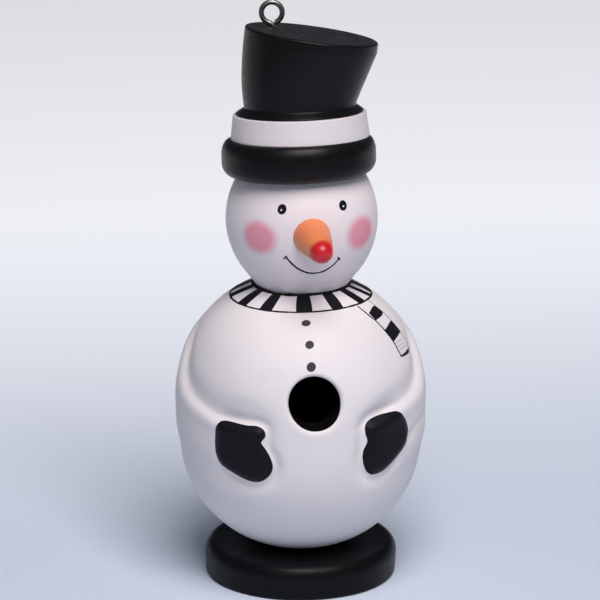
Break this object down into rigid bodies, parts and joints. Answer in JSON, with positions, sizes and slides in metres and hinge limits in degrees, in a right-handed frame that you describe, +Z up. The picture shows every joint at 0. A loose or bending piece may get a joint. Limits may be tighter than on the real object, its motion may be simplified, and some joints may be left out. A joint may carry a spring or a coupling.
{
  "type": "wooden snowman birdhouse",
  "caption": "Hand-carved hollow wooden snowman birdhouse with a belly entrance hole, carrot nose, leaning top hat with a screw eye, and a swivelling lift-off plug base.",
  "frame": {"origin": "centre of the underside of the round base", "axes": "+Z up, -Y out of the entrance hole towards the front, +X to the right of a viewer who faces the front"},
  "size_m": [0.1444, 0.142, 0.3342],
  "materials": {
    "white_paint": "carved wood under satin white paint",
    "black_paint": "wood under satin black paint",
    "orange_paint": "wood under satin orange paint, red at the tip",
    "bare_wood": "bare turned softwood",
    "steel": "dull zinc-plated wire"
  },
  "bodies": {
    "base": {"base_disc": "black_paint", "pivot_washer": "steel"},
    "plug": {"bottom_plug": "bare_wood", "pivot_screw": "steel"},
    "figure": {"body_front": "white_paint", "body_back": "white_paint", "body_dowels": "bare_wood", "neck_dowel": "bare_wood", "head": "white_paint", "nose": "orange_paint", "hat_brim": "black_paint", "hat_band": "white_paint", "hat_crown": "black_paint", "hat_dowel": "bare_wood", "screw_eye": "steel"}
  },
  "joints": [
    {"name": "figure_turn", "type": "hinge", "parent": "base", "child": "plug", "pos_m": [0, 0, 0.02], "axis": [0, 0, 1], "continuous": true},
    {"name": "figure_lift", "type": "slide", "parent": "plug", "child": "figure", "axis": [0, 0, 1], "range_m": [0, 0.03]}
  ]
}
